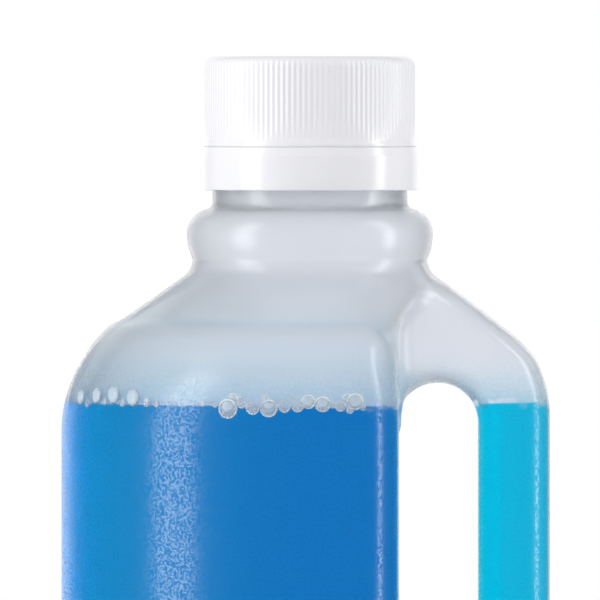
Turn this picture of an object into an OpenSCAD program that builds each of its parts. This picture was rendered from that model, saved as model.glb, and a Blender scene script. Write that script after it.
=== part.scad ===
// Round one-quart bottle of liquid cleaner, blow moulded in one piece with its hollow handle,
// closed by a ribbed screw cap that has a foam wad and a tamper-evident band.
// Millimetres. +Z is up, the origin is on the neck's axis at the standing ring, and the handle is at +X.

/* [Body] */
// Outer radius of the round body
body_r = 48.5; // [47:0.5:51]
// Height from the standing ring to the lip of the neck
bottle_h = 228; // [220:1:240]
// Wall thickness of the blown shell
wall = 1.2; // [0.8:0.1:1.6]
// Rounding between the base and the side
base_edge_r = 6; // [4:0.5:8]
// Width of the flat ring that the bottle stands on
stand_w = 3.5; // [2:0.5:5]
// Rise of the pushed-up middle of the base
push_up = 3.2; // [2:0.2:5]

/* [Shoulder] */
// Slope of the shoulder cone, from the horizontal
cone_angle = 34.5; // [32:0.5:38]
// Depth of the narrow waist below the lip
waist_drop = 37; // [36:0.5:39]
// Radius of the waist between the collar and the shoulder
waist_r = 22.9; // [22.5:0.1:23.4]
// Hollow rounding from the waist into the cone
waist_fillet = 4.3; // [3:0.1:5]
// Depth below the lip at which the side turns straight
side_drop = 70.5; // [68:0.5:74]
// Rounding of the side above that height
side_round = 25.3; // [23:0.1:28]
// Lean of the side, from the vertical, where it runs up to the shoulder's edge
side_lean = 31; // [28:0.5:34]
// Rounding of the lip at the shoulder's edge
lip_r = 1.5; // [1:0.1:2]
// How far that lip stands proud of the cone
lip_rise = 0.4; // [0.2:0.05:0.6]

/* [Neck] */
// Radius of the neck below the cap
neck_r = 19; // [18.8:0.1:19.1]
// Radius of the bore
bore_r = 15.7; // [15:0.1:16]
// Largest radius of the rounded collar under the neck
collar_r = 24; // [23.6:0.1:24.4]
// Depth of the collar's widest line below the lip
collar_drop = 32.1; // [31.6:0.1:32.6]
// Radius at the thread's root
root_r = 17.4; // [17.2:0.05:17.5]
// Height of the thread above its root
thread_h = 1.2; // [1:0.05:1.25]
// Rise of the thread in one turn
thread_pitch = 4.2; // [4:0.1:4.4]
// Turns of thread on the neck
neck_turns = 1.6; // [1.2:0.1:1.8]
// Depth of the thread's upper end below the lip
thread_drop = 3; // [2.4:0.1:3.4]
// Bevel round the lip
lip_bevel = 0.5; // [0.3:0.1:0.8]
// Radius of the lock bead that holds the tamper band
lock_r = 19.7; // [19.6:0.05:19.75]
// Depth of the lock bead's lower edge below the lip
lock_drop = 18.4; // [18:0.1:18.8]
// Height of the lock bead's upright face
lock_flat = 0.7; // [0.5:0.1:0.9]
// Height from the lock bead's lower edge to the end of the slope above it
lock_h = 3; // [2.4:0.1:3.4]

/* [Handle] */
// Distance of the flat wall beside the handle from the axis
wall_x = 17; // [16:0.2:18]
// How far that wall stands proud at the parting line
wall_crown = 0.4; // [0.2:0.1:0.6]
// Thickness of the handle from front to back
grip_t = 22; // [20:0.5:24]
// Distance of the handle's outer line from the axis
reach = 46.8; // [44:0.1:48]
// Width of the finger gap
gap_w = 15.8; // [14:0.1:17]
// Length of the finger gap
gap_len = 76; // [70:1:80]
// Depth of the finger gap's top below the lip
gap_drop = 61; // [60:0.5:63]
// Rounding of the handle's long edges
edge_r = 6; // [5:0.2:6.4]
// Rounding where the round side turns into the flat wall
corner_r = 7; // [5:0.5:8]
// Hollow rounding between the flat wall and the handle
inner_r = 4.7; // [3.5:0.1:5.5]
// Rounding of the handle's outer line at the shoulder
handle_round = 23.6; // [21:0.2:26]
// Depth below the lip at which that line turns straight
handle_drop = 67.5; // [66:0.5:70]
// Depth of the top of the handle's recess below the lip
recess_drop = 41.9; // [41.4:0.1:43]
// Height of the rounded ceiling of the recess
recess_top = 9.8; // [8:0.2:12]
// Height of the ramp at the foot of the recess
recess_foot = 26; // [20:1:32]

/* [Contents] */
// Depth of the liquid's surface below the lip
fill_drop = 64.9; // [62:0.5:75]
// Film between the liquid and the wall
fill_gap = 0.05; // [0.02:0.01:0.2]

/* [Cap] */
// Radius over the cap's ribs
cap_r = 20.5; // [20.4:0.05:20.7]
// Depth of the grooves between the ribs
rib_h = 0.4; // [0.25:0.05:0.5]
// Number of ribs
rib_count = 120; // [90:6:132]
// Thickness of the cap's top
cap_top = 1.6; // [1.2:0.1:2.2]
// Thickness of the foam wad
wad_t = 1; // [0.6:0.1:1.4]
// Length of the cap's skirt below the lip
skirt_len = 15; // [14.6:0.1:15.2]
// Rounding of the cap's top edge
cap_round = 2; // [1.4:0.1:2.2]
// Length of the plain ring at the foot of the skirt
plain_len = 0.9; // [0.6:0.1:1.4]
// Length over which the grooves run out above the plain ring
fade_len = 4.8; // [3:0.2:6]
// Flare of the skirt's foot
cap_flare = 0.3; // [0.2:0.05:0.4]
// Turns of thread in the cap
cap_turns = 1.3; // [1:0.1:1.4]

/* [Tamper band] */
// Radius of the band
band_r = 21.1; // [21:0.05:21.3]
// Height of the band
band_h = 8.2; // [7.8:0.1:8.6]
// Slit between the skirt and the band
slit = 0.3; // [0.2:0.05:0.5]
// Height of the bevel at the band's top
band_bevel = 1.1; // [0.8:0.1:1.4]
// Height of the bead inside the band that catches under the lock bead
latch_h = 1.8; // [1.4:0.1:2.2]
// Number of breakable bridges across the slit
bridge_count = 12; // [8:1:16]
// Width of each bridge
bridge_w = 0.8; // [0.6:0.1:1]
// Clearance round the neck
band_gap = 0.25; // [0.2:0.05:0.3]

/* [Hidden] */
$fn = 96;

// Clearance between the threads of the cap and the neck, and of the wad in the cap
running = 0.3;
// How far a thread, a bridge or a ridge is sunk into what carries it
sunk = 0.3;
// Segments in each turn of a thread
thread_n = 30;
// Height of the bevel under the lock bead
lock_bevel = 0.3;
// Length and width of the weld line across the base
weld_len = 56;
weld_w = 0.8;
// Size of the rounding where the recess's ramp and ceiling meet the flat wall
blend = 4;
// How far the handle's side still stands proud where the ramp passes into the round body
handle_proud = 4.5;
// Width of the thread at its crest, and at its root, as shares of the pitch
crest_share = 0.28;
root_share = 0.5;

lip_z = bottle_h;
fill_z = lip_z - fill_drop;
waist_z = lip_z - waist_drop;
collar_z = lip_z - collar_drop;
lock_z = lip_z - lock_drop;
// Height of the collar's upper quarter round
collar_h = collar_r - neck_r;
side_z = lip_z - side_drop;
handle_z = lip_z - handle_drop;
grip_half = grip_t / 2;
gap_x = wall_x + gap_w / 2;
gap_top = lip_z - gap_drop;
gap_foot = gap_top - gap_len;
recess_z = lip_z - recess_drop;
foot_z = gap_foot - gap_w / 2;
ramp_end = foot_z - recess_foot;

// The cone starts where the hollow rounding below the waist reaches its slope.
cone_r0 = waist_r + waist_fillet * (1 - sin(cone_angle));
cone_z0 = waist_z - waist_fillet * cos(cone_angle);
// The shoulder's lip rounds off the leaning side and stands a little proud of the cone. These are the
// distances along the two normals on which its middle lies, and the middle itself.
lip_out = side_round - lip_r + (body_r - side_round) * cos(side_lean) + side_z * sin(side_lean);
lip_up = lip_rise - lip_r + cone_r0 * sin(cone_angle) + cone_z0 * cos(cone_angle);
lip_turn = cos(side_lean + cone_angle);
lip_at = (lip_out * cos(cone_angle) - lip_up * sin(side_lean)) / lip_turn;
edge_z = (lip_up * cos(side_lean) - lip_out * sin(cone_angle)) / lip_turn;
// The handle's outer line leans at most this much before the cone cuts it.
handle_lean = (2 * (90 - cone_angle) + side_lean) / 3;
// Radii of the flat middle of the base and of the bend where its push-up starts
flat_r = body_r / 3;
bend_r = 0.64 * body_r;

// Segments along each stretch of a half section: side, corner, flat wall, hollow, handle side, edge, end
fine = [14, 4, 3, 3, 2, 3, 1];
coarse = [10, 4, 2, 2, 2, 3, 1];

function clamp(v, low, high) = min(max(v, low), high);
// Share that rises from 0 to 1 without a corner at either end
function eased(v) = let (t = clamp(v, 0, 1)) t * t * (3 - 2 * t);

// Points of an arc about [x, y], without its first point
function arc(x, y, r, from, to, n) =
    [for (k = [1:n]) let (q = from + (to - from) * k / n) [x + r * cos(q), y + r * sin(q)]];

function steps(a, b, n) = [for (k = [1:n]) a + (b - a) * k / n];

// Distance of the shoulder cone from the axis at height z, on a skin that lies i inside the outer one
function cone_at(z, i) = cone_r0 + (cone_z0 - z) / tan(cone_angle) - i / sin(cone_angle);

// Distance from the axis of a side at far_r that turns in above turn_z with radius bend, runs on at that
// lean, and ends at the cone
function side_at(z, i, far_r, bend, turn_z, lean) =
    let (mid = far_r - bend, r = bend - i, up = z - turn_z)
    up <= 0 ? far_r - i
    : up < r * sin(lean) ? min(cone_at(z, i), mid + sqrt(r * r - up * up))
    : min(cone_at(z, i), mid + r / cos(lean) - up * tan(lean));

function lip_reach(z, i) =
    abs(z - edge_z) < lip_r - i ? lip_at + sqrt(pow(lip_r - i, 2) - pow(z - edge_z, 2)) : 0;
function body_at(z, i) = max(side_at(z, i, body_r, side_round, side_z, side_lean), lip_reach(z, i));
function handle_at(z, i) = side_at(z, i, reach, handle_round, handle_z, handle_lean);

// Larger or smaller of two distances, with the corner between them rounded
function soft_max(a, b) = max(a, b) + pow(max(0, blend - abs(a - b)), 2) / (4 * blend);
function soft_min(a, b) = min(a, b) - pow(max(0, blend - abs(a - b)), 2) / (4 * blend);

// Farthest that the recess's wall may lie out, so that a little of the handle still stands proud of it
function wall_end(out) = sqrt(out * out - grip_half * grip_half) - handle_proud;

// Distance of the recess's wall from the axis at height z: a ceiling that curls out at the top, the flat
// wall, and a ramp at the foot
function wall_at(z) =
    let (u = clamp(1 - (recess_z - z) / recess_top, 0, 1),
         end = wall_end(handle_at(z, 0)),
         ramp = wall_x + (foot_z - z) * (body_r - wall_x) / recess_foot)
    soft_min(end, max(soft_max(wall_x, ramp), wall_x + (end + blend - wall_x) * (1 - sqrt(1 - u * u))));
// The same for a skin that lies i inside the outer one
function wall_inside(z, i) = min([for (q = [-60, 0, 60]) wall_at(z + i * sin(q)) - i * cos(q)]);

// Half of a section that has the recess, from -X round to +X. Its wall lies at w.
function recessed(r, out, w, i, n) =
    let (room = 0.3 * (out - w),
         a = corner_r - i,
         b = min(inner_r, room) + i,
         c = min(edge_r, room + i) - i,
         t = grip_half - i,
         corner_y = sqrt(pow(r - a, 2) - pow(w - a, 2)),
         corner_q = atan2(corner_y, w - a),
         edge_x = sqrt(pow(out - c, 2) - pow(t - c, 2)),
         edge_q = atan2(t - c, edge_x))
    concat(
        [[-r, 0]],
        arc(0, 0, r, 180, corner_q, n[0]),
        arc(w - a, corner_y, a, corner_q, 0, n[1]),
        [for (y = steps(corner_y, t + b, n[2])) [w, y]],
        arc(w + b, t + b, b, 180, 270, n[3]),
        [for (x = steps(w + b, edge_x, n[4])) [x, t]],
        arc(edge_x, t - c, c, 90, edge_q, n[5]),
        arc(0, 0, out, edge_q, 0, n[6]));

// Whole section at one height. row is [z, radius, radius, handle and wall of the recessed section, share
// of the way from that section to the circle of the first radius].
function section(row, i, n) =
    let (half = [for (p = recessed(row[2], row[3], row[4], i, n)) p * (1 + row[5] * (row[1] / norm(p) - 1))],
         m = len(half))
    concat(
        [for (p = half) [p[0], p[1], row[0]]],
        [for (k = [m - 2:-1:1]) [half[k][0], -half[k][1], row[0]]]);

// Closed solid through a stack of rings that all have the same number of points, each running clockwise
// as seen from the end of the stack. Its diagonals are mirrored from one half of a ring to the other.
module skin(rings) {
    m = len(rings[0]);
    last = len(rings) - 1;
    polyhedron(
        points = [for (ring = rings, p = ring) p],
        faces = concat(
            [[for (k = [m - 1:-1:0]) k]],
            [for (j = [0:last - 1], k = [0:m - 1])
                let (a = j * m + k, b = j * m + (k + 1) % m)
                each k < m / 2 ? [[a, b, b + m], [a, b + m, a + m]] : [[a, b, a + m], [b, b + m, a + m]]],
            [[for (k = [0:m - 1]) last * m + k]]));
}

module loft(rows, i, n) {
    skin([for (row = rows) section(row, i, n)]);
}

// Row of the body between the base and the waist. The ramp's last stretch passes into the round body.
function body_row(z, i) =
    let (r = body_at(z, i),
         last = recess_foot * (body_r - wall_end(reach)) / (body_r - wall_x),
         share = clamp(1 - (z - ramp_end) / last, 0, 1))
    [z, r, r, handle_at(z, i), wall_inside(z, i), share];
// Round rows below and above that stretch keep the angles of the nearest section with a recess.
function base_row(z, r, i) = [z, r, body_r - i, reach - i, wall_end(reach) - i, 1];
function neck_row(z, r, i) =
    let (z1 = recess_z) [z, r, body_at(z1, i), handle_at(z1, i), wall_inside(z1, i), 1];

// Heights at which the body changes, from the base's rounding to the waist
function foot_heights(n) = [for (k = [0:n]) ramp_end + (gap_foot - edge_r - ramp_end) * k / n];
function side_heights(low, n) =
    let (top = edge_z + lip_r * sin(side_lean)) [for (k = [0:n]) low + (top - low) * sin(90 * k / n)];
function lip_heights(n) = [for (k = [1:n]) edge_z + lip_r * sin(side_lean + (78 - side_lean) * k / n)];
function recess_heights(n) =
    let (low = edge_z + 1.4 * lip_r) [for (k = [0:n]) low + (recess_z - low) * sin(90 * k / n)];

// The outer skin's rows: base, body, collar and neck finish
outer_rows = concat(
    [base_row(push_up, flat_r, 0),
     base_row(push_up * 0.8, bend_r, 0),
     base_row(push_up * 0.08, body_r - base_edge_r - stand_w * 1.23, 0),
     base_row(0, body_r - base_edge_r - stand_w, 0)],
    [for (k = [0:4]) let (q = 22.5 * k)
        base_row(base_edge_r * (1 - cos(q)), body_r - base_edge_r * (1 - sin(q)), 0)],
    [for (z = concat(foot_heights(9), side_heights(side_z, 8), lip_heights(3), recess_heights(6)))
        body_row(z, 0)],
    [for (k = [2:-1:0]) let (q = (90 - cone_angle) * k / 2)
        neck_row(waist_z - waist_fillet * sin(q), waist_r + waist_fillet * (1 - cos(q)), 0)],
    // The collar's lower half leans back to the waist, and its upper half is a quarter round.
    [for (k = [1:4]) let (h = collar_z - waist_z, v = 1 - k / 4)
        neck_row(collar_z - h * v, collar_r - (collar_r - waist_r) * v * v, 0)],
    [for (k = [1:4]) let (q = 22.5 * k)
        neck_row(collar_z + collar_h * sin(q), neck_r + collar_h * cos(q), 0)],
    [neck_row(lock_z - lock_bevel, neck_r, 0),
     neck_row(lock_z, lock_r, 0),
     neck_row(lock_z + lock_flat, lock_r, 0),
     neck_row(lock_z + lock_h, root_r, 0),
     neck_row(lip_z - lip_bevel, root_r, 0),
     neck_row(lip_z, root_r - lip_bevel, 0)]);

// Rows of the hollow, i inside the outer skin, from its floor up to the bore
function floor_rows(i) = concat(
    [base_row(push_up + i, flat_r, i),
     base_row(push_up * 0.8 + i, bend_r, i),
     base_row(i, body_r - base_edge_r - stand_w * 0.6, i)],
    [for (k = [1:3]) let (q = 30 * k, e = base_edge_r - i)
        base_row(i + e * (1 - cos(q)), body_r - base_edge_r + e * sin(q), i)]);
wet_heights = concat(foot_heights(9), [side_z, fill_z]);
dry_heights = concat(side_heights(fill_z + 2, 4), recess_heights(3));

hollow_rows = concat(
    floor_rows(wall),
    [for (z = concat(wet_heights, dry_heights)) body_row(z, wall)],
    [neck_row(waist_z, waist_r - wall, wall),
     neck_row(collar_z - 1, collar_r - wall, wall),
     neck_row(collar_z + collar_h / 2, collar_r - wall - 0.28 * collar_h, wall),
     neck_row(collar_z + collar_h - 0.6, bore_r + wall, wall),
     neck_row(collar_z + collar_h + 1, bore_r, wall),
     neck_row(lip_z + 1, bore_r, wall)]);

// Outline of the finger gap at distance y from the parting line, grown by `grow` all round and by `flare`
// away from the body. The wall at its left stands proud at the parting line and falls back to the flat wall.
function gap_ring(y, flare, grow) =
    let (n = 8,
         left = wall_x - grow + wall_crown * (1 - y / (grip_half + inner_r)),
         h = gap_w / 2 + grow,
         top = gap_top - gap_w / 2,
         foot = gap_foot + gap_w / 2)
    concat(
        [for (k = [0:n]) let (q = 180 - 180 * k / n, d = h + flare * eased(2 * k / n))
            [max(gap_x + d * cos(q), left), y, top + d * sin(q)]],
        [for (k = [0:n]) let (q = -180 * k / n, d = h + flare * eased(2 * (n - k) / n))
            [max(gap_x + d * cos(q), left), y, foot + d * sin(q)]]);

// The finger gap with its rounded mouth, for the skin that lies i inside the outer one. The rounding
// runs a little past the face, and the cut ends a little past the hollow rounding.
module finger_gap(i) {
    n = 4;
    past = 0.15;
    r = edge_r - i + past;
    mouth = concat(
        [gap_ring(0, 0, i)],
        [for (k = [0:n]) gap_ring(grip_half - edge_r + r * sin(90 * k / n), r * (1 - cos(90 * k / n)), i)],
        [gap_ring(grip_half + inner_r + 1, r, i)]);
    for (side = [0, 1], k = [0:n + 1])
        mirror([0, side, 0])
            hull()
                skin([mouth[k + 1], mouth[k]]);
}

// Helical ridge from z0 upward. Its foot is sunk past the wall at foot_r, and its ends run out.
module ridge(foot_r, tip_r, z0, turns) {
    n = round(turns * thread_n);
    side = sign(tip_r - foot_r);
    wide = root_share * thread_pitch / 2;
    narrow = crest_share * thread_pitch / 2;
    skin([for (k = [0:n])
        let (q = 360 * k / thread_n,
             z = z0 + thread_pitch * k / thread_n,
             run_out = clamp(min(k, n - k) / 3, 0.1, 1),
             foot = foot_r - side * sunk,
             tip = foot_r + (tip_r - foot_r) * run_out)
        [for (p = [[foot, side * wide], [foot, -side * wide], [tip, -side * narrow], [tip, side * narrow]])
            [p[0] * cos(q), p[0] * sin(q), z + p[1]]]]);
}

// Height of the middle of the neck's thread where it starts
neck_thread_z = lip_z - thread_drop - thread_pitch * neck_turns - root_share * thread_pitch / 2;
// The cap's thread runs just under the neck's, a running clearance below its flank.
cap_bore_r = root_r + thread_h + running;
cap_tip_r = root_r + running;
flank_slope = (root_share - crest_share) * thread_pitch / 2 / thread_h;
cap_thread_z = neck_thread_z - root_share * thread_pitch + flank_slope * (cap_bore_r - root_r) - running;

module bottle() {
    color([0.86, 0.89, 0.93])
        difference() {
            union() {
                difference() {
                    loft(outer_rows, 0, fine);
                    finger_gap(0);
                }
                ridge(root_r, root_r + thread_h, neck_thread_z, neck_turns);
                // Weld line that the mould's pinch leaves across the pushed-up base
                translate([-weld_len / 2, -weld_w / 2, push_up / 2])
                    cube([weld_len, weld_w, push_up / 2 + sunk]);
            }
            difference() {
                loft(hollow_rows, wall, coarse);
                finger_gap(wall);
            }
        }
}

module cleaner() {
    skin = wall + fill_gap;
    rows = concat(
        floor_rows(skin),
        [for (z = wet_heights) body_row(z, skin)]);
    color([0.05, 0.42, 0.75])
        difference() {
            loft(rows, skin, coarse);
            finger_gap(skin);
        }
}

cap_z = lip_z + wad_t + cap_top;
skirt_z = lip_z - skirt_len;

// Outside of the cap as a turned form of radius r, rounded at the top and flared at its foot
module cap_form(r) {
    foot_r = cap_r + cap_flare;
    rotate_extrude()
        polygon(concat(
            [[0, cap_z], [0, skirt_z], [foot_r, skirt_z], [cap_r + cap_flare / 6, skirt_z + plain_len],
             [r, skirt_z + plain_len + fade_len]],
            arc(r - cap_round, cap_z - cap_round, cap_round, 0, 90, 6)));
}

// Ribbed prism: four corners a rib, with the grooves cut by `over` below the turned form's own radius
over = 0.1;
module ribs() {
    pitch = 360 / rib_count;
    translate([0, 0, skirt_z + plain_len])
        linear_extrude(cap_z - skirt_z - plain_len + 1)
            polygon([for (k = [0:rib_count - 1], c = [[-0.2, 0], [0.2, 0], [0.38, 1], [0.62, 1]])
                let (q = pitch * (k + c[0]), r = cap_r - c[1] * (rib_h + over)) [r * cos(q), r * sin(q)]]);
}

module cap() {
    color([0.95, 0.95, 0.96])
        union() {
            difference() {
                union() {
                    intersection() {
                        ribs();
                        cap_form(cap_r + over / 4);
                    }
                    cap_form(cap_r - rib_h);
                }
                translate([0, 0, skirt_z - 1])
                    cylinder(r = cap_bore_r, h = lip_z + wad_t - skirt_z + 1);
            }
            ridge(cap_bore_r, cap_tip_r, cap_thread_z, cap_turns);
        }
}

module wad() {
    color([0.93, 0.94, 0.95])
        translate([0, 0, lip_z])
            cylinder(r = cap_bore_r - running, h = wad_t);
}

module tamper_band() {
    top_z = skirt_z - slit;
    foot_z = top_z - band_h;
    in_r = lock_r + band_gap;
    latch_r = neck_r + band_gap;
    latch_z = lock_z - lock_bevel - band_gap;
    color([0.95, 0.95, 0.96])
        union() {
            rotate_extrude()
                polygon([
                    [in_r, top_z], [cap_r + cap_flare, top_z], [band_r, top_z - band_bevel],
                    [band_r - over, foot_z], [in_r, foot_z], [in_r, latch_z - latch_h],
                    [latch_r, latch_z - latch_h / 2], [latch_r, latch_z], [in_r, latch_z]]);
            for (k = [0:bridge_count - 1])
                rotate([0, 0, 360 * k / bridge_count])
                    translate([in_r + over, -bridge_w / 2, top_z - sunk])
                        cube([cap_r + cap_flare - in_r - 2 * over, bridge_w, slit + sunk]);
        }
}

bottle();
cleaner();
cap();
wad();
tamper_band();
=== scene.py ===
import math

import bpy
import numpy as np
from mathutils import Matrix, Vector


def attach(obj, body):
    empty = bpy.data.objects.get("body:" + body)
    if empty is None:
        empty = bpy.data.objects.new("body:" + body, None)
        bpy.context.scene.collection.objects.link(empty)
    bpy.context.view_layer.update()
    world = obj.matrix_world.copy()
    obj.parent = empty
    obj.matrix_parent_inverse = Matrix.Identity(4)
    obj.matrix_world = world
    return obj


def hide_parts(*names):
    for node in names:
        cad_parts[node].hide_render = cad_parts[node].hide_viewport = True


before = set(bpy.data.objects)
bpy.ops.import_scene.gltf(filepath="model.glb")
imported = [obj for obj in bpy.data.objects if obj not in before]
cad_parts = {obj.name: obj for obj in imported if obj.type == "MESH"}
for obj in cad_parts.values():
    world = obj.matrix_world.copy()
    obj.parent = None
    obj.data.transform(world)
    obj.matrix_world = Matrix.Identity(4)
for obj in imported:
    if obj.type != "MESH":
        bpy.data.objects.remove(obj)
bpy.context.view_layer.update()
scene = bpy.context.scene
scene.view_settings.view_transform = "Standard"

# Camera
# A very long lens about 3 m away, at the height of the neck: the cap, the collar and the liquid's surface
# are seen almost edge on. The picture cuts the bottle off below the liquid's surface.
middle_x = -0.00195
eye = Vector((middle_x, -3.2, 0.225))
aim = Vector((middle_x, 0.0, 0.18305))
lens = bpy.data.cameras.new("camera")
lens.lens, lens.sensor_width = 984, 36
lens.clip_start, lens.clip_end = 0.05, 20
camera = bpy.data.objects.new("camera", lens)
camera.location = eye
camera.rotation_euler = (aim - eye).to_track_quat("-Z", "Y").to_euler()
scene.collection.objects.link(camera)
scene.camera = camera

# Blown bottle
# One piece of natural polyethylene, blown in a two-part mould: round body, shoulder cone, waist and
# collar, a neck finish with its thread and lock bead, and a hollow handle pinched off beside a flat wall.
# Lengths are millimetres until the mesh is written.
body_r, lip_z, wall = 48.5, 228.0, 1.2
slope = math.radians(34.5)
waist_r, waist_z, hollow_r = 22.9, 191.0, 4.3
side_z, side_round, side_lean = 157.5, 25.3, math.radians(31)
lip_at, lip_rise, lip_r, lip_before, lip_run = 40.1, 0.4, 1.5, 4.0, 3.5
wall_x, wall_crown, crown_half, corner_r, ramp_round = 17.0, 0.4, 15.7, 7.0, 8.0
inner_r, inner_least, inner_from, inner_run = 4.7, 0.3, 5.0, 5.0
reach, handle_z, handle_round, handle_lean = 46.8, 160.5, 23.6, math.radians(47.3)
grip_half, edge_r, grip_top_r = 11.0, 6.0, 3.0
gap_x, gap_half, gap_low, gap_high = 24.9, 7.9, 98.9, 159.1
recess_z, recess_top, recess_deep = 186.1, 9.8, 20.0
ramp_z, ramp_end = 83.1, 57.1
collar_r, collar_z, neck_r, bore_r = 24.0, 195.9, 19.0, 15.7
root_r, thread_h, pitch, neck_turns = 17.4, 1.2, 4.2, 1.6
crest_half, root_half, run_out_turn = 0.28 * pitch / 2, 0.5 * pitch / 2, math.radians(36)
thread_drop = 3.0
thread_z = lip_z - thread_drop - pitch * neck_turns - root_half
lock_r, lock_z = 19.7, 209.9
base_r, foot_r, stand_in, push_up = 42.5, 6.0, 39.0, 3.2
low_cut, high_cut, edges_apart = 50.0, 190.3, 120.0
neck_points, foot_points = 208, 192
level = 162.9


def joined(a, b, r):
    """Distance to two solids together, with a hollow rounding of radius r where they meet."""
    return np.maximum(r, np.minimum(a, b)) - np.hypot(np.maximum(r - a, 0), np.maximum(r - b, 0))


def trimmed(a, b, r):
    """Distance to what two solids share, with their edge rounded to radius r."""
    return np.minimum(-r, np.maximum(a, b)) + np.hypot(np.maximum(r + a, 0), np.maximum(r + b, 0))


def side(r, z, far, bend, turn, lean):
    """Distance to a side that turns in above `turn` with radius `bend` and then runs on at that lean."""
    u, w = r - far + bend, z - turn
    arc = np.hypot(np.maximum(u, 0), w) - bend
    line = u * math.cos(lean) + w * math.sin(lean) - bend
    return np.where(w <= 0, r - far, np.where(w < np.maximum(u, 0) * math.tan(lean), arc, line))


def shoulder(r, z):
    """Distance to the shoulder's cone and to the hollow by which it passes into the waist."""
    u, w = r - waist_r - hollow_r, z - waist_z
    cone = hollow_r + u * math.sin(slope) + w * math.cos(slope)
    return np.where(u * math.cos(slope) > w * math.sin(slope), cone, hollow_r - np.hypot(u, w))


def bottle_skin(x, y, z):
    """Signed distance to the outside of the body, negative inside it."""
    r, away = np.hypot(x, y), np.abs(y)
    top = shoulder(r, z)
    rise = np.clip((r - lip_at + lip_before) / lip_run, 0, 1)
    raised = top - lip_rise * rise * rise * (3 - 2 * rise)
    body = trimmed(side(r, z, body_r, side_round, side_z, side_lean), raised, lip_r)
    u = np.maximum(recess_deep - (x - wall_x - wall_crown * np.clip(1 - away / crown_half, 0, 1)), 0)
    w = np.maximum(recess_top - (recess_z - z), 0)
    q = np.sqrt((u / recess_deep) ** 2 + (w / recess_top) ** 2)
    least, middle = 1e-6, 0.2
    steep = np.sqrt((u / recess_deep**2) ** 2 + (w / recess_top**2) ** 2) / np.maximum(q, least)
    flat = np.where(q < middle, recess_deep, (1 - q) / np.maximum(steep, least))
    fall = (body_r - wall_x) / (ramp_z - ramp_end)
    ramp = (x - wall_x - (ramp_z - z) * fall) / math.hypot(1, fall)
    body = trimmed(body, joined(flat, ramp, ramp_round), corner_r)
    outside = trimmed(side(r, z, reach, handle_round, handle_z, handle_lean), top, grip_top_r)
    grip = trimmed(away - grip_half, outside, edge_r)
    hole = np.hypot(x - gap_x, z - np.clip(z, gap_low, gap_high)) - gap_half
    left = np.maximum(x - gap_x, np.maximum(z - gap_high, gap_low - z))
    grip = trimmed(grip, -np.minimum(hole, left), edge_r)
    bend = inner_least + (inner_r - inner_least) * np.clip((away - inner_from) / inner_run, 0, 1)
    return joined(body, grip, bend)


def drawn(field, xs, ys, zs):
    """Points and quads of the zero surface of a distance field on a grid. The points start at the mean of
    the crossings round them, are evened out twice and follow the slope of the field onto the surface."""
    grid = np.meshgrid(xs, ys, zs, indexing="ij")
    f = field(*grid)
    n = np.array(f.shape)
    total, count = np.zeros((*(n - 1), 3)), np.zeros(n - 1)
    edges = []
    for a in range(3):
        b, c = (a + 1) % 3, (a + 2) % 3
        low = [slice(None)] * 3
        high = [slice(None)] * 3
        low[a], high[a] = slice(0, -1), slice(1, None)
        f0, f1 = f[tuple(low)], f[tuple(high)]
        cross = (f0 < 0) != (f1 < 0)
        t = np.where(cross, f0 / np.where(cross, f0 - f1, 1), 0)
        place = [g[tuple(low)] for g in grid]
        place[a] = place[a] + t * (grid[a][tuple(high)] - grid[a][tuple(low)])
        for db in (0, 1):
            for dc in (0, 1):
                part = [slice(None)] * 3
                part[b], part[c] = slice(db, n[b] - 1 + db), slice(dc, n[c] - 1 + dc)
                hit = cross[tuple(part)]
                count += hit
                for k in range(3):
                    total[..., k] += place[k][tuple(part)] * hit
        edges.append((a, b, c, cross, f0 < 0))
    number = np.full(n - 1, -1)
    number[count > 0] = np.arange(int((count > 0).sum()))
    points = total[count > 0] / count[count > 0][:, None]
    quads = []
    for a, b, c, cross, solid in edges:
        inner = [slice(None)] * 3
        inner[b], inner[c] = slice(1, -1), slice(1, -1)
        i = np.argwhere(cross[tuple(inner)])
        i[:, b] += 1
        i[:, c] += 1
        ring = []
        for db, dc in ((1, 1), (0, 1), (0, 0), (1, 0)):
            j = i.copy()
            j[:, b] -= db
            j[:, c] -= dc
            ring.append(number[tuple(j.T)])
        quad = np.stack(ring, 1)
        out = solid[tuple(i.T)]
        quads.append(np.where(out[:, None], quad, quad[:, ::-1]))
    quads = np.concatenate(quads)
    fixed_z = (points[:, 2] < zs[1]) | (points[:, 2] > zs[-2])
    pairs = np.concatenate([quads[:, [0, 1]], quads[:, [1, 2]], quads[:, [2, 3]], quads[:, [3, 0]]])
    pairs = np.concatenate([pairs, pairs[:, ::-1]])
    around = np.bincount(pairs[:, 0], minlength=len(points))[:, None]
    farthest, probe, least_slope = 0.4 * min(np.diff(xs).min(), np.diff(zs).min()), 0.02, 0.2
    for round_no in range(4):
        if round_no in (1, 2):
            mean = np.stack(
                [np.bincount(pairs[:, 0], points[pairs[:, 1], k], len(points)) for k in range(3)], 1)
            mean = np.where(around > 0, mean / np.maximum(around, 1), points)
            points = np.where(fixed_z[:, None], points, 0.5 * points + 0.5 * mean)
        for _ in range(2):
            here = field(*points.T)
            slope_at = np.stack(
                [(field(*(points + shift).T) - field(*(points - shift).T)) / (2 * probe)
                 for shift in probe * np.eye(3)], 1)
            slope_at[fixed_z, 2] = 0
            move = -here[:, None] * slope_at / np.maximum((slope_at**2).sum(1), least_slope)[:, None]
            points = points + np.clip(move, -farthest, farthest)
    return points, quads


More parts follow.
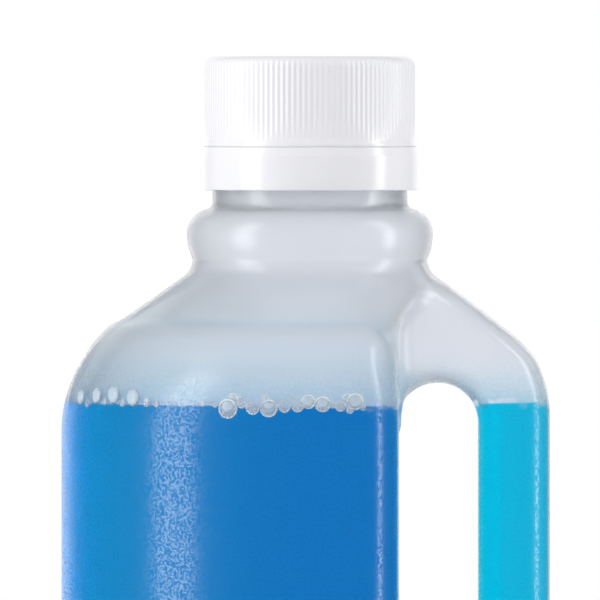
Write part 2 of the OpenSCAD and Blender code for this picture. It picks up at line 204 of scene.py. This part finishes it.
def open_loop(points, quads, chosen):
    """Numbers of the points on the open edge among `chosen`, in order of their angle about the axis."""
    pairs = np.concatenate([quads[:, [0, 1]], quads[:, [1, 2]], quads[:, [2, 3]], quads[:, [3, 0]]])
    pairs = np.sort(pairs, 1)
    keys, times = np.unique(pairs, axis=0, return_counts=True)
    rim = np.unique(keys[times == 1])
    rim = rim[chosen[rim]]
    return by_angle(points, rim)


def by_angle(points, numbers):
    """The same numbers of points, in order of their angle about the axis."""
    return numbers[np.argsort(np.arctan2(points[numbers, 1], points[numbers, 0]))]


def zipped(points, a, b, outward):
    """Triangles that join two loops of points, both in order of their angle about the axis."""
    turn = [np.arctan2(points[k, 1], points[k, 0]) for k in (a, b)]
    i = j = 0
    made = []
    while i < len(a) or j < len(b):
        next_a = turn[0][i + 1] if i + 1 < len(a) else (turn[0][0] + 2 * math.pi if i < len(a) else math.inf)
        next_b = turn[1][j + 1] if j + 1 < len(b) else (turn[1][0] + 2 * math.pi if j < len(b) else math.inf)
        here_a, here_b = a[i % len(a)], b[j % len(b)]
        if next_a <= next_b:
            made.append((here_a, a[(i + 1) % len(a)], here_b))
            i += 1
        else:
            made.append((here_a, b[(j + 1) % len(b)], here_b))
            j += 1
    return [t if outward else t[::-1] for t in made]


def rings_of(rows, turns, height=None):
    """Points of a turned surface: one ring of `turns` points a row, each row a radius and a height."""
    q = np.arange(turns) * 2 * math.pi / turns
    rows = np.array(rows, float)
    r = np.repeat(rows[:, :1], turns, 1)
    z = np.repeat(rows[:, 1:], turns, 1)
    if height is not None:
        r = r + height(np.broadcast_to(q, r.shape), z)
    return np.stack([r * np.cos(q), r * np.sin(q), z], 2).reshape(-1, 3)


def between(rows, turns, start):
    """Quads between the rings of a turned surface whose first point has the number `start`. Rows that
    rise make faces that look away from the axis."""
    k = np.arange(turns)
    made = []
    for j in range(rows - 1):
        a, b = start + j * turns + k, start + j * turns + (k + 1) % turns
        made.append(np.stack([a, b, b + turns, a + turns], 1))
    return np.concatenate(made)


def thread_height(q, z, z0, turns, height, direction=1):
    """How far a right-hand thread stands out at angle q and height z, or in with direction -1."""
    top = np.zeros_like(z)
    for turn in range(int(turns) + 2):
        run = q + 2 * math.pi * turn
        run_out = np.clip(np.minimum(run, 2 * math.pi * turns - run) / run_out_turn, 0, 1)
        off = np.abs(z - z0 - pitch * run / (2 * math.pi))
        rise = np.clip((root_half - off) / (root_half - crest_half), 0, 1)
        top = np.maximum(top, height * run_out * rise * rise * (3 - 2 * rise))
    return direction * top


def bend_rows(r, z, size, start, end, n):
    """Rows along an arc about (r, z), from angle start to end in degrees."""
    return [(r + size * math.cos(math.radians(q)), z + size * math.sin(math.radians(q)))
            for q in np.linspace(start, end, n)]


def mesh_of(name, points, groups):
    """Object from points in millimetres and groups of faces. The group's number is its material slot."""
    mesh = bpy.data.meshes.new(name)
    faces = [[int(v) for v in f] for group in groups for part in group for f in part]
    mesh.from_pydata((np.asarray(points) * 0.001).tolist(), [], faces)
    mesh.shade_smooth()
    mesh.polygons.foreach_set("material_index", np.repeat(
        np.arange(len(groups)), [sum(len(part) for part in group) for group in groups]))
    made = bpy.data.objects.new(name, mesh)
    scene.collection.objects.link(made)
    return made


def finish_rows():
    """Rows of waist, collar and neck finish, from the body's open edge up to the lip and down the bore."""
    fillet_r, fillet_z, meet = 1.4, 202.145, 77.4
    under, under_r = 4.9, 1.1
    rows = [(waist_r + hollow_r - math.sqrt(hollow_r**2 - (waist_z - z) ** 2), z) for z in (190.7, waist_z)]
    rows += [(collar_r - under_r * v * v, collar_z - under * v)
             for v in (0.94, 0.86, 0.75, 0.62, 0.5, 0.37, 0.25, 0.12)]
    rows += bend_rows(neck_r, collar_z, collar_r - neck_r, 0, meet, 11)
    rows += bend_rows(neck_r + fillet_r, fillet_z, fillet_r, 180 + meet, 180, 7)[1:]
    rows += [(neck_r, z) for z in (203, 205, 207, 208.6, 209.2)]
    rows += [(neck_r + 0.1, lock_z - 0.6), (lock_r - 0.2, lock_z - 0.5), (lock_r - 0.02, lock_z - 0.3)]
    rows += [(lock_r, lock_z), (lock_r - 0.1, lock_z + 0.3), (lock_r - 0.4, lock_z + 0.7)]
    rows += [(root_r + 1.0, 211.6), (root_r + 0.3, 212.3), (root_r + 0.05, 212.6)]
    rows += [(root_r, z) for z in np.arange(212.9, 227.3, 0.36)]
    lip_round, bore_round = 0.5, 0.3
    rows += bend_rows(root_r - lip_round, lip_z - lip_round, lip_round, 0, 90, 5)
    rows += bend_rows(bore_r + bore_round, lip_z - bore_round, bore_round, 90, 180, 4)
    rows += [(bore_r, z) for z in (226, 220, 212, 206, 202.5)]
    rows += [(15.8, 201.9), (16.3, 201.2), (17.2, 200.6), (18.6, 200.3), (20.0, 199.8), (21.2, 198.9)]
    rows += [(22.2, 197.6), (22.7, 196.3), (22.8, 195), (22.6, 193.8), (22.2, 192.6)]
    return rows + [(21.85, 191.6), (21.7, 190.9)]


def floor_rows(inset):
    """Rows of the pushed-up floor and its rounding, `inset` inside the outer skin, from the middle out."""
    rows = [(r, push_up + inset) for r in (0.6, 4, 10, 16)]
    rows += [(24, 3.0 + inset), (31, 2.5 + inset), (36, 1.1 + inset), (39.5, 0.15 + inset), (41, inset)]
    rows += bend_rows(base_r, foot_r, foot_r - inset, -90, 0, 8)
    return rows + [(body_r - inset, z) for z in (12, 24, 36, 48)]


def foot_rows():
    """Rows of the outer skin from the pushed-up middle over the standing ring and up the side."""
    rows = [(r, push_up) for r in (0.6, 4, 10, 16)]
    rows += [(20, 3.1), (26, 2.85), (31, 2.5), (34, 1.8), (36.5, 0.9), (38.2, 0.25), (38.6, 0.06)]
    rows += [(stand_in, 0), (41, 0)] + bend_rows(base_r, foot_r, foot_r, -90, 0, 10)
    return rows + [(body_r, z) for z in (10, 16, 24, 32, 40, 48)]


def centred(low, high, step):
    """Grid lines from low to high, evenly spread about their middle."""
    n = int(round((high - low) / step))
    return np.linspace(low, high, n + 1)


def closed_foot(rows, turns, start, outward):
    """Points and faces of a turned floor whose first row, the smallest, is closed with one face."""
    made = between(len(rows), turns, start)
    middle = start + np.arange(turns)
    if outward:
        return rings_of(rows, turns), [made, [tuple(middle[::-1])]]
    return rings_of(rows, turns), [made[:, ::-1], [tuple(middle)]]


def blown_shell():
    """The whole bottle as one closed skin: outside, dry inside and the inside that the liquid wets."""
    side_step, top_step, outer_step, fine_from = 1.3, 1.05, 1.15, 150
    inner_step, inner_level = 1.9, 1.7
    outer_half, inner_half = 50, 49
    low, high = low_cut - 1, high_cut + 0.2
    levels = np.concatenate([centred(low, fine_from, side_step), centred(fine_from, high, top_step)[1:]])
    across = centred(-outer_half, outer_half, outer_step)
    outer, outer_quads = drawn(bottle_skin, across, across, levels)
    across = centred(-inner_half, inner_half, inner_step)
    inner, inner_quads = drawn(
        lambda x, y, z: bottle_skin(x, y, z) + wall, across, across, centred(low, high, inner_level))
    count = len(outer) + len(inner)
    everything = np.concatenate([outer, inner])
    drawn_quads = [outer_quads, inner_quads[:, ::-1] + len(outer)]
    skins = [[part] for part in drawn_quads]
    outside, upper = np.arange(count) < len(outer), everything[:, 2] > edges_apart
    neck = finish_rows()
    lip_row = next(k for k, row in enumerate(neck) if row[0] < root_r - 1)
    grown = rings_of(neck[:lip_row], neck_points,
                     lambda q, z: thread_height(q, z, thread_z, neck_turns, thread_h))
    neck_rings = np.concatenate([grown, rings_of(neck[lip_row:], neck_points)])
    quads = between(len(neck), neck_points, count)
    skins[0].append(quads[:lip_row * neck_points])
    skins[1].append(quads[lip_row * neck_points:])
    ring = count + np.arange(neck_points)
    joints = [(0, outside & upper, ring), (1, ~outside & upper, ring + len(neck_rings) - neck_points)]
    parts = [everything, neck_rings]
    count += len(neck_rings)
    for skin, rows, part in ((0, foot_rows(), outside & ~upper), (1, floor_rows(wall), ~outside & ~upper)):
        points, faces = closed_foot(rows, foot_points, count, skin == 0)
        parts.append(points)
        skins[skin] += faces
        count += len(points)
        joints.append((skin, part, np.arange(count - foot_points, count)))
    points = np.concatenate(parts)
    for skin, part, ring in joints:
        rim, ring = open_loop(everything, np.concatenate(drawn_quads), part), by_angle(points, ring)
        low, high = (rim, ring) if points[ring[0], 2] > edges_apart else (ring, rim)
        skins[skin].append(zipped(points, low, high, skin == 0))
    dry, wet = [], []
    for face in (f for part in skins[1] for f in part):
        (wet if points[face[0], 2] < level else dry).append(face)
    return mesh_of("blown_bottle", points, [skins[0], [dry], [wet]])


class Wire:
    """A socket of a material. Sums written with it add Math nodes, and `add` makes any other node."""

    def __init__(self, tree, socket=None):
        self.tree, self.socket = tree, socket

    def add(self, kind, values=None, out=0, **settings):
        node = self.tree.nodes.new("ShaderNode" + kind)
        for key, value in settings.items():
            setattr(node, key, value)
        for key, value in (values or {}).items():
            if isinstance(value, Wire):
                self.tree.links.new(value.socket, node.inputs[key])
            else:
                node.inputs[key].default_value = value
        return Wire(self.tree, node.outputs[out]) if len(node.outputs) else None

    def sum(self, operation, a, b=0.0):
        return self.add("Math", {0: a, 1: b}, operation=operation)

    def __add__(self, other):
        return self.sum("ADD", self, other)

    def __radd__(self, other):
        return self.sum("ADD", other, self)

    def __sub__(self, other):
        return self.sum("SUBTRACT", self, other)

    def __rsub__(self, other):
        return self.sum("SUBTRACT", other, self)

    def __mul__(self, other):
        return self.sum("MULTIPLY", self, other)

    def __rmul__(self, other):
        return self.sum("MULTIPLY", other, self)

    def __truediv__(self, other):
        return self.sum("DIVIDE", self, other)

    def clipped(self):
        return self.add("Clamp", {"Value": self})


def finish_of(name):
    """A new material without nodes, and a wire to build it with."""
    material = bpy.data.materials.new(name)
    material.use_nodes = True
    material.node_tree.nodes.clear()
    return material, Wire(material.node_tree)


def polyethylene(name, tint, roughness, ior, clear, part):
    """Cloudy, slightly bluish plastic. Outside, the mould leaves its parting line and a grained side. Inside,
    the dry wall just above the liquid's edge is painted pale blue as a painted glow, and the wet wall just
    below is rougher so that it clouds."""
    edge, glow_low, glow_more, cloud_deep = 0.001 * level, 0.006, 0.012, 0.006
    seam_half, grain_end, grain_fade, smooth_coat = 0.00035, 0.172, 0.01, 0.6
    material, wire = finish_of(name)
    values = {"Base Color": (*tint, 1), "Roughness": roughness, "IOR": ior, "Transmission Weight": clear}
    place = wire.add("TexCoord", out="Object")
    height = wire.add("SeparateXYZ", {"Vector": place}, out="Z")
    # Above the liquid's edge the dry inside is painted pale blue (0.62, 0.85, 0.94), fading out upward over
    # an uneven height: a painted glow that stands in for the liquid's light scattered up through the cloudy
    # wall.
    if part == "dry":
        patches = wire.add("TexNoise", {"Vector": place, "Scale": 150.0, "Detail": 1.0})
        painted_glow = (1.0 - (height - edge) / (glow_low + glow_more * patches)).clipped()
        values["Base Color"] = wire.add("Mix", {
            "Factor": painted_glow * painted_glow, "A": (*tint, 1), "B": (0.62, 0.85, 0.94, 1)},
            out="Result", data_type="RGBA")
    if part == "wet":
        values["Roughness"] = (1.0 - (edge - height) / cloud_deep).clipped() * 0.5 + roughness
    if part == "outside":
        grain = wire.add("TexNoise", {"Vector": place, "Scale": 2100.0, "Detail": 1.0, "Roughness": 0.5})
        swell = wire.add("TexNoise", {"Vector": place, "Scale": 260.0, "Detail": 1.0})
        across = wire.sum("ABSOLUTE", wire.add("SeparateXYZ", {"Vector": place}, out="Y"))
        seam = (1.0 - across / seam_half).clipped()
        side_only = ((grain_end - height) / grain_fade).clipped()
        values["Normal"] = wire.add("Bump", {
            "Height": (grain + 1.5 * swell) * side_only + 0.8 * seam, "Strength": 0.25, "Distance": 0.0004})
        specks = (grain - 0.45) * 10.0
        values["Coat Weight"] = ((specks - smooth_coat) * side_only + smooth_coat).clipped()
        values["Coat Roughness"], values["Coat IOR"] = 0.2, 1.6
    wire.add("OutputMaterial", {"Surface": wire.add("BsdfPrincipled", values)})
    return material


bottle = blown_shell()
for name, tint, roughness, ior, clear, part in (
        ("natural_polyethylene", (0.93, 0.94, 0.965), 0.33, 1.2, 1.0, "outside"),
        ("natural_polyethylene_inside_painted_glow", (0.99, 0.985, 0.985), 0.6, 1.2, 0.9, "dry"),
        ("natural_polyethylene_wet", (0.86, 0.87, 0.93), 0.1, 1.02, 1.0, "wet")):
    bottle.data.materials.append(polyethylene(name, tint, roughness, ior, clear, part))
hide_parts("bottle")
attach(bottle, "bottle")

# Liquid cleaner
# A thin, clear blue liquid that wets the wall. It fills the body and the hollow handle to one level,
# and its surface climbs a little at the wall.
film, climb, climb_decay, climb_round = 0.05, 0.4, 1.4, 0.3


def liquid_skin(x, y, z):
    """Signed distance to the liquid: the hollow of the bottle below the surface."""
    inside = bottle_skin(x, y, z) + wall + film
    surface = z - level - climb * np.exp(np.clip(inside, -20, 0) / climb_decay)
    return trimmed(inside, surface, climb_round)


def poured_liquid():
    """The liquid as one closed skin, with finer levels at its surface."""
    side_step, surface_step, across = 1.6, 0.45, centred(-49, 49, 1.5)
    fine_from, above = 161, 165.5
    levels = np.concatenate(
        [centred(low_cut - 1, fine_from, side_step), centred(fine_from, above, surface_step)[1:]])
    points, quads = drawn(liquid_skin, across, across, levels)
    rim = open_loop(points, quads, points[:, 2] < edges_apart)
    foot, faces = closed_foot(floor_rows(wall + film), foot_points, len(points), True)
    everything = np.concatenate([points, foot])
    top = by_angle(everything, np.arange(len(everything) - foot_points, len(everything)))
    return mesh_of("liquid", everything, [faces + [quads, zipped(everything, top, rim, True)]])


def blue_liquid():
    """Clear water with a blue dye, which takes the red light first."""
    material, wire = finish_of("blue_liquid")
    shader = wire.add("BsdfPrincipled", {
        "Base Color": (0.3, 0.85, 0.95, 1), "Roughness": 0.02, "IOR": 1.08, "Transmission Weight": 1.0})
    dye = wire.add("VolumeAbsorption", {"Color": (0.0, 0.955, 0.985, 1), "Density": 290.0})
    wire.add("OutputMaterial", {"Surface": shader, "Volume": dye})
    return material


liquid = poured_liquid()
liquid.data.materials.append(blue_liquid())
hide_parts("cleaner")
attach(liquid, "bottle")

# Air bubbles
# A row of froth bubbles along the front of the liquid's edge, left by filling, with looser ones to the
# left of it. Each is a thin round film, half sunk in the liquid, and lies against the wall. The lists give
# the places of their middles (x, z) and their radii.
wet_r = 47.25
packed_row = [
    (-18.3, 163.4, 0.46), (-15.7, 162.7, 1.76), (-14.8, 165.0, 0.67), (-13.1, 163.6, 0.78),
    (-11.0, 162.9, 1.22), (-8.6, 164.7, 0.59), (-7.9, 162.8, 1.55), (-6.4, 164.3, 0.48),
    (-4.9, 163.1, 1.04), (-2.4, 163.2, 1.04), (-0.3, 164.1, 1.26), (2.4, 163.6, 1.39), (4.4, 163.5, 0.63),
    (5.8, 163.2, 0.93), (7.2, 164.6, 0.93), (8.6, 164.1, 1.48), (7.6, 162.5, 0.63), (-13.7, 164.6, 0.55),
    (-3.5, 164.6, 0.44), (10.1, 162.9, 0.44), (-20.7, 163.6, 0.44)]
loose_row = [
    (-44.3, 164.3, 1.57), (-41.2, 164.7, 1.57), (-37.9, 165.0, 1.76), (-34.1, 164.6, 1.76),
    (-42.9, 163.3, 0.93), (-39.6, 163.7, 0.83), (-36.1, 163.6, 0.93), (-31.4, 163.8, 1.02),
    (-29.6, 163.5, 0.74)]


def froth():
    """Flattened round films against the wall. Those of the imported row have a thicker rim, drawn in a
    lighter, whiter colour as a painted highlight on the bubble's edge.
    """
    points, film_faces, rim_faces = [], [], []
    turns, rows, sides, flatness, rim_out, pole = 32, 12, 8, 0.45, 0.15, 0.01
    for x, z, r in packed_row + loose_row:
        y = -math.sqrt(wet_r**2 - x * x)
        middle, outward = Vector((x, y, z)), Vector((x, y, 0)) / wet_r
        aside, up = Vector((-y, x, 0)) / wet_r, Vector((0, 0, 1))
        start = len(points)
        for j in range(rows + 1):
            tilt = math.pi * (pole + (1 - 2 * pole) * j / rows)
            for k in range(turns):
                q = 2 * math.pi * k / turns
                points.append(middle - outward * (flatness * r * math.cos(tilt))
                              + (aside * math.cos(q) + up * math.sin(q)) * (r * math.sin(tilt)))
        film_faces += [between(rows + 1, turns, start), [tuple((start + np.arange(turns))[::-1])],
                       [tuple(start + rows * turns + np.arange(turns))]]
        if (x, z, r) in loose_row:
            continue
        start = len(points)
        tube = 0.09 * r + 0.05
        for k in range(turns):
            q = 2 * math.pi * k / turns
            spoke = aside * math.cos(q) + up * math.sin(q)
            for j in range(sides):
                t = 2 * math.pi * j / sides
                points.append(middle + spoke * (r + tube * math.cos(t))
                              + outward * (rim_out * r + tube * math.sin(t)))
        for k in range(turns):
            for j in range(sides):
                rim_faces.append([start + a * sides + b for a, b in (
                    (k, j), ((k + 1) % turns, j), ((k + 1) % turns, (j + 1) % sides), (k, (j + 1) % sides))])
    return mesh_of("froth", points, [film_faces, [rim_faces]])


def bubble_film(name, color, clear):
    """A milky film that has drained unevenly."""
    material, wire = finish_of(name)
    place = wire.add("TexCoord", out="Object")
    drain = wire.add("TexNoise", {"Vector": place, "Scale": 420.0, "Detail": 1.0})
    shader = wire.add("BsdfPrincipled", {
        "Base Color": (*color, 1), "Roughness": drain * 0.3 + 0.1, "IOR": 1.33,
        "Transmission Weight": clear})
    wire.add("OutputMaterial", {"Surface": shader})
    return material


bubbles = froth()
bubbles.data.materials.append(bubble_film("bubble_film", (0.66, 0.78, 0.88), 0.35))
# The rim is the film's thicker edge. Its lighter, whiter and less clear colour is a painted highlight for the
# light that a bubble's edge reflects.
bubbles.data.materials.append(bubble_film("bubble_rim_painted_highlight", (0.86, 0.92, 0.96), 0.2))
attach(bubbles, "bottle")

# Screw cap
# One moulding in white polypropylene: a flat top with a rounded edge, fine ribs that run out above a
# plain ring at the skirt's foot, and a single-start thread inside. It screws down on the wad.
cap_r, rib_h, rib_count, cap_round, cap_top = 20.5, 0.11, 120, 2.0, 1.6
wad_t, skirt_z, plain_len, fade_len, flare, flare_edge = 1.0, 213.0, 0.9, 4.8, 0.3, 0.05
cap_z, ceiling_z = lip_z + wad_t + cap_top, lip_z + wad_t
running = 0.3
cap_bore, bore_edge, ceiling_round, inner_turns = root_r + thread_h + running, 0.3, 0.5, 192
flank = (root_half - crest_half) / thread_h
cap_thread_z = thread_z - 2 * root_half + flank * (cap_bore - root_r) - running
cap_turns = 1.3


def screw_cap():
    """The cap as one closed skin: ribbed outside, threaded bore and the ring that joins them at the foot."""
    groove_form = np.array([0, 0.1, 0.55, 0.95, 1, 0.95, 0.55, 0.1])
    per_rib = len(groove_form)
    turns = rib_count * per_rib
    crest = [(cap_bore, skirt_z + bore_edge), (cap_bore + bore_edge, skirt_z)]
    crest += [(cap_r + flare - flare_edge, skirt_z), (cap_r + flare, skirt_z + flare_edge)]
    crest += [(cap_r + 0.06, skirt_z + plain_len)]
    crest += [(cap_r, z) for z in np.linspace(skirt_z + plain_len + 0.12, cap_z - cap_round, 22)]
    crest += bend_rows(cap_r - cap_round, cap_z - cap_round, cap_round, 8, 90, 10)
    crest += [(r, cap_z) for r in (17, 12, 6, 0.4)]

    top_edge, top_run = 0.25, 1.6

    def groove(q, z):
        """How far in the grooves lie. They run out above the plain ring and at the top's rounded edge."""
        deep = groove_form[np.arange(turns) % per_rib][None, :] * np.ones_like(z)
        run_out = np.clip((z - skirt_z - plain_len) / fade_len, 0, 1) ** 0.7
        edge = np.clip((cap_z - top_edge - z) / top_run, 0, 1)
        return -rib_h * deep * run_out * np.minimum(1, edge * 1.4) * (z > skirt_z + plain_len)

    outer = rings_of(crest, turns, groove)
    faces = [between(len(crest), turns, 0), [tuple((len(crest) - 1) * turns + np.arange(turns))]]
    bore = [(r, ceiling_z) for r in (0.4, 8, cap_bore - ceiling_round)]
    bore += bend_rows(cap_bore - ceiling_round, ceiling_z - ceiling_round, ceiling_round, 90, 0, 4)[1:]
    bore += [(cap_bore, z) for z in np.arange(lip_z - 0.2, skirt_z + 0.6, -0.3)]
    bore += [(cap_bore, skirt_z + bore_edge)]
    first = len(outer)
    inside = rings_of(bore, inner_turns, lambda q, z: (z < lip_z) * thread_height(
        q, z, cap_thread_z, cap_turns, thread_h, -1))
    faces += [between(len(bore), inner_turns, first), [tuple(first + np.arange(inner_turns)[::-1])]]
    everything = np.concatenate([outer, inside])
    low = len(everything) - inner_turns + np.arange(inner_turns)
    faces.append(zipped(everything, by_angle(everything, low), by_angle(everything, np.arange(turns)), True))
    return mesh_of("screw_cap", everything, [faces])


def polypropylene():
    """Glossy white plastic with a fine grain."""
    material, wire = finish_of("white_polypropylene")
    place = wire.add("TexCoord", out="Object")
    grain = wire.add("TexNoise", {"Vector": place, "Scale": 900.0, "Detail": 2.0})
    relief = wire.add("Bump", {"Height": grain, "Strength": 0.08, "Distance": 0.0002})
    shader = wire.add("BsdfPrincipled", {
        "Base Color": (0.85, 0.85, 0.87, 1), "Roughness": 0.2, "Normal": relief})
    wire.add("OutputMaterial", {"Surface": shader})
    return material


white_plastic = polypropylene()
cap = screw_cap()
cap.data.materials.append(white_plastic)
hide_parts("cap")
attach(cap, "cap")

# Foam wad
# A disc of white closed-cell foam, cut from sheet, that lies in the cap and seals on the lip.


def foam_wad():
    """A disc with a slightly rounded edge."""
    r, edge, turns = cap_bore - running, 0.15, 96
    rows = [(k, lip_z) for k in (0.4, 6, 12, 17)] + bend_rows(r - edge, lip_z + edge, edge, -90, 0, 4)
    rows += bend_rows(r - edge, ceiling_z - edge, edge, 0, 90, 4) + [(k, ceiling_z) for k in (17, 12, 6, 0.4)]
    everything = rings_of(rows, turns)
    k = np.arange(turns)
    faces = [between(len(rows), turns, 0), [tuple(k[::-1])], [tuple((len(rows) - 1) * turns + k)]]
    return mesh_of("foam_wad", everything, [faces])


def closed_cell_foam():
    """White foam with a fine relief of cells."""
    material, wire = finish_of("white_foam")
    place = wire.add("TexCoord", out="Object")
    cells = wire.add("TexVoronoi", {"Vector": place, "Scale": 2200.0}, out="Distance")
    relief = wire.add("Bump", {"Height": cells, "Strength": 0.5, "Distance": 0.0002})
    shader = wire.add("BsdfPrincipled", {
        "Base Color": (0.84, 0.85, 0.86, 1), "Roughness": 0.7, "Normal": relief})
    wire.add("OutputMaterial", {"Surface": shader})
    return material


wad = foam_wad()
wad.data.materials.append(closed_cell_foam())
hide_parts("wad")
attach(wad, "wad")

# Tamper band
# The ring below the cap, in the same white polypropylene. A latch inside it holds it under the lock bead,
# and twelve thin bridges across the slit join it to the cap until the first opening breaks them.
band_r, band_top, band_foot, gap = 21.1, 212.95, 204.5, 0.25
band_bore, latch_r, latch_under = lock_r + gap, neck_r + gap, 18.7
bridge_count, bridge_foot_half, bridge_top_half = 12, 0.4, 0.25


def tamper_ring():
    """The ring's section turned about the axis, and a tapered bar for each bridge."""
    latch, foot_round = lip_z - latch_under - gap, 0.25
    rows = [(band_bore, band_foot + 0.2), (band_bore + 0.2, band_foot), (band_r - 0.35, band_foot)]
    rows += bend_rows(band_r - 0.35, band_foot + foot_round, foot_round, -80, 0, 4)
    rows += [(band_r - 0.06, 206.5), (band_r - 0.02, 209), (band_r, 211.2), (band_r - 0.03, 211.5)]
    rows += [(band_r - 0.14, 211.75), (cap_r + 0.4, 212.4), (cap_r + 0.32, 212.8), (cap_r + 0.25, band_top)]
    rows += [(band_bore + 0.15, band_top), (band_bore, band_top - 0.15), (band_bore, latch + 0.05)]
    rows += [(band_bore - 0.1, latch), (latch_r + 0.1, latch), (latch_r, latch - 0.1)]
    rows += [(latch_r, latch - 0.8), (latch_r + 0.1, latch - 1.0), (band_bore, latch - 1.8)]
    turns = 288
    points = list(rings_of(rows, turns))
    faces = [[v % len(points) for v in f] for f in between(len(rows) + 1, turns, 0)]
    ends = [(-bridge_foot_half, band_top - 0.2), (bridge_foot_half, band_top - 0.2)]
    ends += [(bridge_top_half, skirt_z), (-bridge_top_half, skirt_z)]
    for k in range(bridge_count):
        q = 2 * math.pi * k / bridge_count
        start = len(points)
        for r in (band_bore + 0.1, band_bore + 0.7):
            for half, z in ends:
                points.append((r * math.cos(q) - half * math.sin(q), r * math.sin(q) + half * math.cos(q), z))
        for f in ((0, 3, 2, 1), (4, 5, 6, 7), (0, 1, 5, 4), (2, 3, 7, 6), (1, 2, 6, 5), (0, 4, 7, 3)):
            faces.append([start + v for v in f])
    return mesh_of("tamper_ring", points, [[faces]])


band = tamper_ring()
band.data.materials.append(white_plastic)
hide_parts("tamper_band")
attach(band, "bottle")

# Studio
# A pale floor that fades into a white backdrop, a tall softbox at each side and a dim room in front. What
# comes through the bottle is a soft backlight, whitest a little to the right.
world = scene.world = bpy.data.worlds.new("studio")
world.use_nodes = True
world.node_tree.nodes.clear()
wire = Wire(world.node_tree)
straight = wire.add("LightPath", out="Is Camera Ray")
passed = wire.add("LightPath", out="Is Transmission Ray")
mirrored = wire.add("LightPath", out="Is Glossy Ray") * (1.0 - passed)
toward = wire.add("TexCoord", out="Generated")
back = wire.add("SeparateXYZ", {"Vector": toward}, out="Y")
right = wire.add("SeparateXYZ", {"Vector": toward}, out="X")
lights = {name: wire.add("Background", {"Color": (*color, 1), "Strength": 1.0}) for name, color in (
    ("white", (1, 1, 1)), ("fill", (0.69, 0.69, 0.7)), ("dim", (0.008, 0.008, 0.01)),
    ("glow", (0.8, 0.84, 0.92)), ("side", (0.6, 0.62, 0.6)))}
panel = wire.add("MixShader", {0: ((back - 0.74) * 6.0).clipped(), 1: lights["dim"], 2: lights["white"]})
uneven = wire.add("MixShader", {0: (right * 1.6 + 0.2).clipped(), 1: lights["glow"], 2: lights["white"]})
uneven = wire.add("MixShader", {0: ((right - 0.6) * 6.0).clipped(), 1: uneven, 2: lights["side"]})
room = wire.add("MixShader", {0: mirrored, 1: lights["fill"], 2: panel})
room = wire.add("MixShader", {0: passed, 1: room, 2: uneven})
room = wire.add("MixShader", {0: straight, 1: room, 2: lights["white"]})
wire.add("OutputWorld", {"Surface": room})


def softbox(name, place, size, energy):
    """An upright area lamp that faces the bottle's axis."""
    lamp = bpy.data.lights.new(name, "AREA")
    lamp.shape, lamp.size, lamp.size_y, lamp.energy = "RECTANGLE", *size, energy
    made = bpy.data.objects.new(name, lamp)
    made.location = place
    made.rotation_euler = (Vector((0, 0, place[2])) - Vector(place)).to_track_quat("-Z", "Y").to_euler()
    scene.collection.objects.link(made)


softbox("left_softbox", (-0.906, -0.423, 0.5), (0.38, 1.5), 7.5)
softbox("right_softbox", (0.98, -0.16, 0.6), (0.22, 1.5), 5.6)


def pale_floor():
    """A round floor of 0.45 m, whose outer part fades away."""
    edge, fade_out, turns = 0.45, 0.25, 96
    rows = [(r, 0) for r in (0.5, 100, 200, 300, 400, 1000 * edge)]
    points = rings_of(rows, turns)
    faces = [between(len(rows), turns, 0)[:, ::-1], [tuple(np.arange(turns))]]
    made = mesh_of("floor", points, [faces])
    material, wire = finish_of("floor_paper")
    far = wire.add("VectorMath", {0: wire.add("TexCoord", out="Object")}, out="Value", operation="LENGTH")
    fade = ((edge - far) / fade_out).clipped()
    paper = wire.add("BsdfPrincipled", {"Base Color": (0.88, 0.88, 0.89, 1), "Roughness": 0.9})
    clear = wire.add("BsdfTransparent")
    wire.add("OutputMaterial", {"Surface": wire.add("MixShader", {0: fade, 1: clear, 2: paper})})
    made.data.materials.append(material)
    return made


pale_floor()
